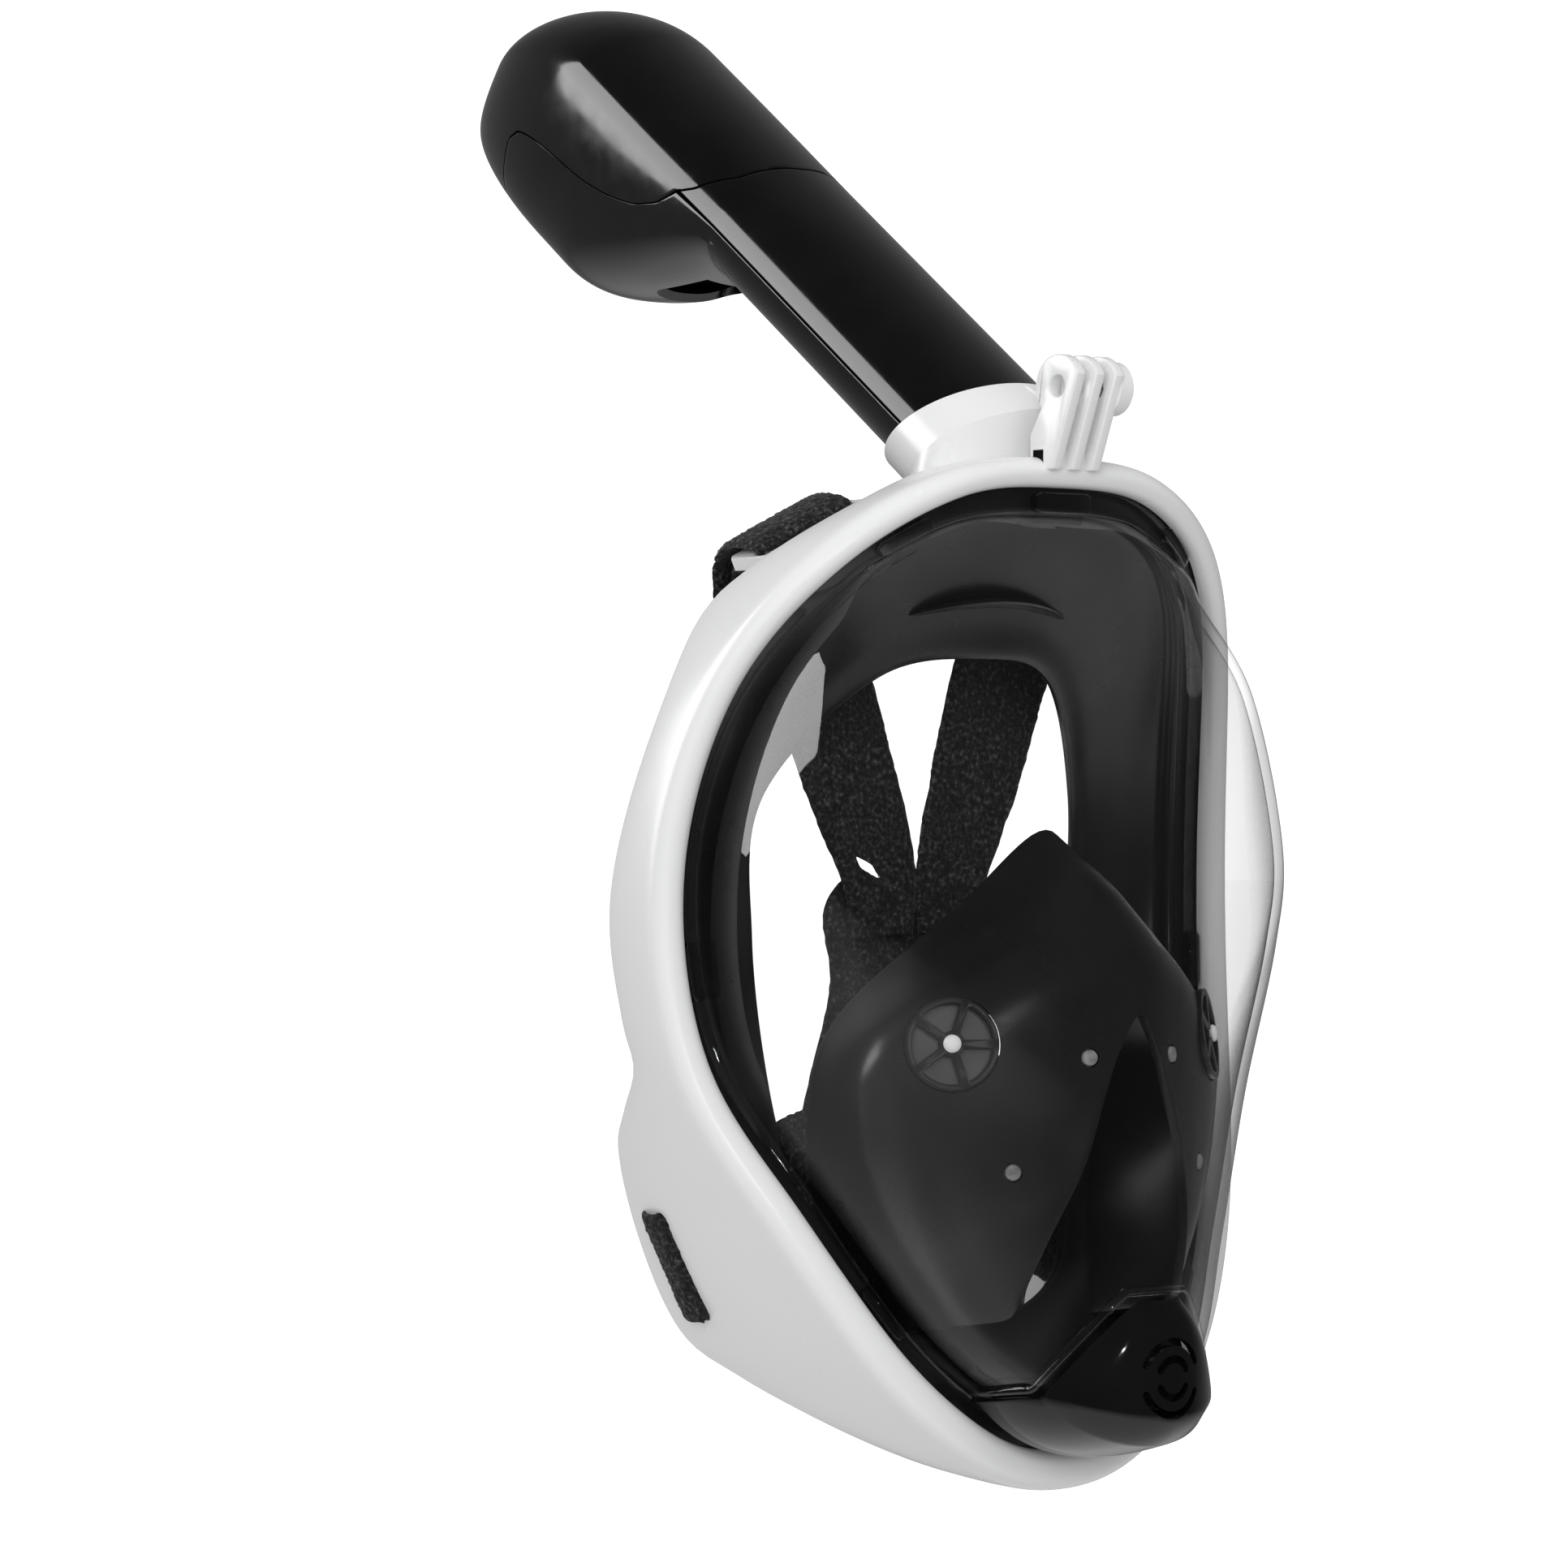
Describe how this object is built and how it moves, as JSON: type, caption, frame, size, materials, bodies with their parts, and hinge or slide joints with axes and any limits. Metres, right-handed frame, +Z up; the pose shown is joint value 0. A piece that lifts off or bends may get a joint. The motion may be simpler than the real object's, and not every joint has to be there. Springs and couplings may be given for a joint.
{
  "type": "full face snorkel mask",
  "caption": "Full face snorkel mask: clear bulged visor in a white frame, black silicone skirt and nose pocket, chin purge valve, dry-top snorkel, camera mount and head harness.",
  "frame": {"origin": "centre of the face seal, on the mirror plane, where the mask meets the wearer's face", "axes": "+Z up the mask, +Y into the wearer's face, the visor faces -Y; X = 0 is the mirror plane"},
  "size_m": [0.1852, 0.2617, 0.3691],
  "materials": {
    "white_plastic": "smooth moulded, glossy",
    "black_plastic": "smooth moulded, high gloss",
    "clear_plastic": "polished clear polycarbonate",
    "silicone": "satin black silicone",
    "textile": "black loop-faced elastic band and pad",
    "steel": "stainless, bright"
  },
  "bodies": {
    "mask": {"front_frame": "white_plastic", "rear_frame": "white_plastic", "lens": "clear_plastic", "face_skirt": "silicone", "nose_pocket": "silicone", "check_valve_seat_left": "silicone", "check_valve_pin_left": "white_plastic", "check_valve_seat_right": "silicone", "check_valve_pin_right": "white_plastic", "pocket_stud_left_1": "clear_plastic", "pocket_stud_left_2": "clear_plastic", "pocket_stud_right_1": "clear_plastic", "pocket_stud_right_2": "clear_plastic", "strap_upper_left": "textile", "strap_upper_right": "textile", "strap_lower_left": "textile", "strap_lower_right": "textile", "back_pad": "textile", "drain_valve_seat": "black_plastic", "drain_valve_cap": "black_plastic", "snorkel_socket": "white_plastic", "camera_mount": "white_plastic", "camera_mount_nut": "steel"},
    "snorkel": {"tube_front_shell": "black_plastic", "tube_rear_shell": "black_plastic", "head_cap": "black_plastic", "air_duct": "black_plastic", "tube_seal": "silicone", "intake_grille": "black_plastic", "float_seat": "silicone"},
    "float_body": {"float": "clear_plastic"},
    "check_disc_left": {"check_valve_disc_left": "silicone"},
    "check_disc_right": {"check_valve_disc_right": "silicone"},
    "drain_disc": {"drain_valve_disc": "silicone"},
    "button": {"release_button": "white_plastic"}
  },
  "joints": [
    {"name": "tube_pull", "type": "slide", "parent": "mask", "child": "snorkel", "axis": [0, 0.8028, 0.5962], "range_m": [0, 0.04]},
    {"name": "float_slide", "type": "slide", "parent": "snorkel", "child": "float_body", "axis": [0, 0.8028, 0.5962], "range_m": [0, 0.01]},
    {"name": "check_valve_left", "type": "slide", "parent": "mask", "child": "check_disc_left", "axis": [0.6052, 0.783, -0.1436], "range_m": [0, 0.0015], "stiffness_N_per_m": 20},
    {"name": "check_valve_right", "type": "slide", "parent": "mask", "child": "check_disc_right", "axis": [-0.6052, 0.783, -0.1436], "range_m": [0, 0.0015], "stiffness_N_per_m": 20},
    {"name": "drain_valve", "type": "slide", "parent": "mask", "child": "drain_disc", "axis": [0, -1, 0], "range_m": [0, 0.0015], "stiffness_N_per_m": 20},
    {"name": "button_press", "type": "slide", "parent": "mask", "child": "button", "axis": [0, -0.5962, 0.8028], "range_m": [0, 0.002], "stiffness_N_per_m": 500}
  ]
}
